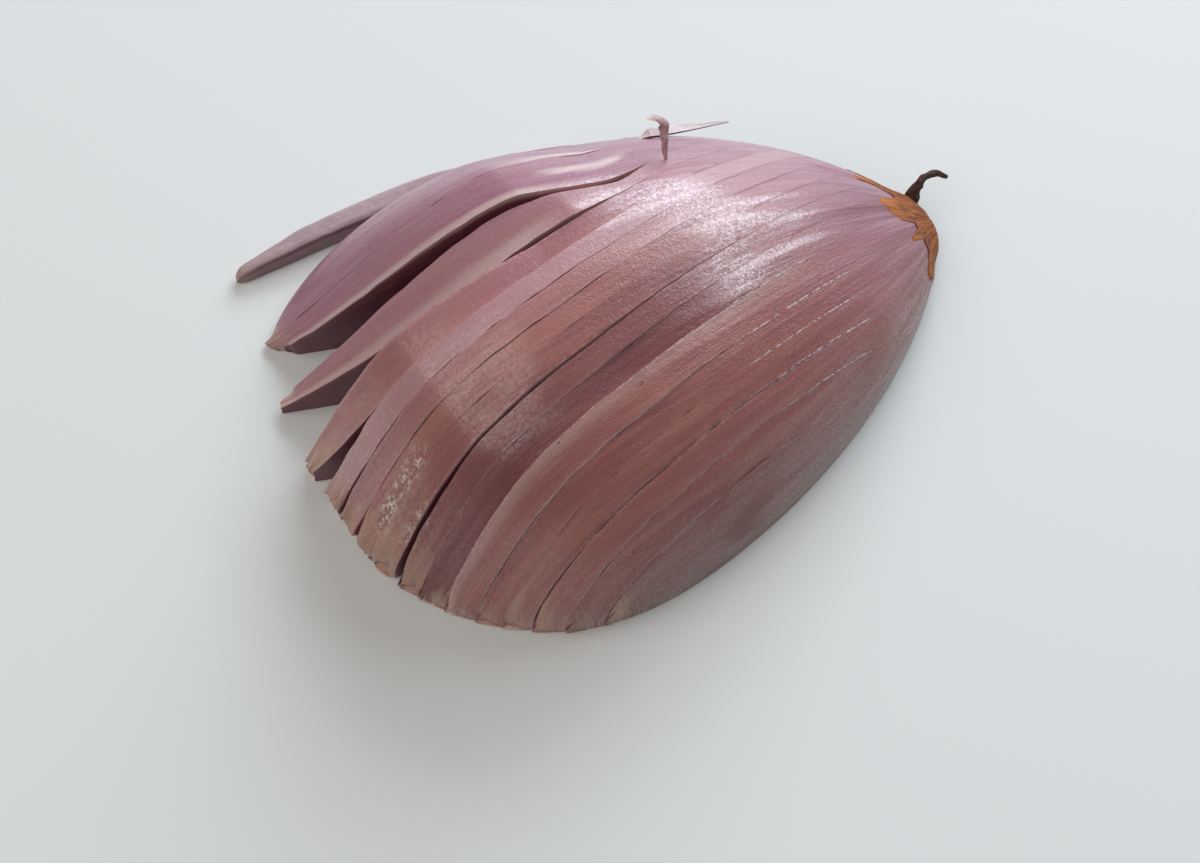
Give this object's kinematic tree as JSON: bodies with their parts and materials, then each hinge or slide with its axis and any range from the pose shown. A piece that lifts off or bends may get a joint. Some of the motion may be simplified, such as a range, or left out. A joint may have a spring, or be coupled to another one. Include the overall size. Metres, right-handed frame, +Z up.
{
  "type": "sliced shallot half",
  "caption": "Half of a peeled pink shallot lying on its cut face, knife cut lengthwise into thin slices that stay joined at the root end and fan apart at the neck end.",
  "frame": {"origin": "centre of the bounding box, on the surface that the flat cut face lies on", "axes": "+X along the bulb towards its root end, +Y towards the side that has fanned open, +Z up, away from the cut face"},
  "size_m": [0.0562, 0.0438, 0.0173],
  "materials": {
    "flesh": "moist mauve-pink shallot skin with pale cut flesh",
    "edge_flesh": "moist mauve-pink shallot skin with pale cut flesh",
    "strip_flesh": "moist pale pink shallot flesh",
    "shred": "thin pale skin",
    "root_plate": "dry orange-brown corky root plate",
    "dried_root": "dry dark-brown root"
  },
  "bodies": {
    "root": {"sliced_half": "flesh", "edge_slice": "edge_flesh", "outer_strip": "strip_flesh", "skin_shred": "shred", "root_plate": "root_plate", "dried_root": "dried_root"}
  },
  "joints": []
}
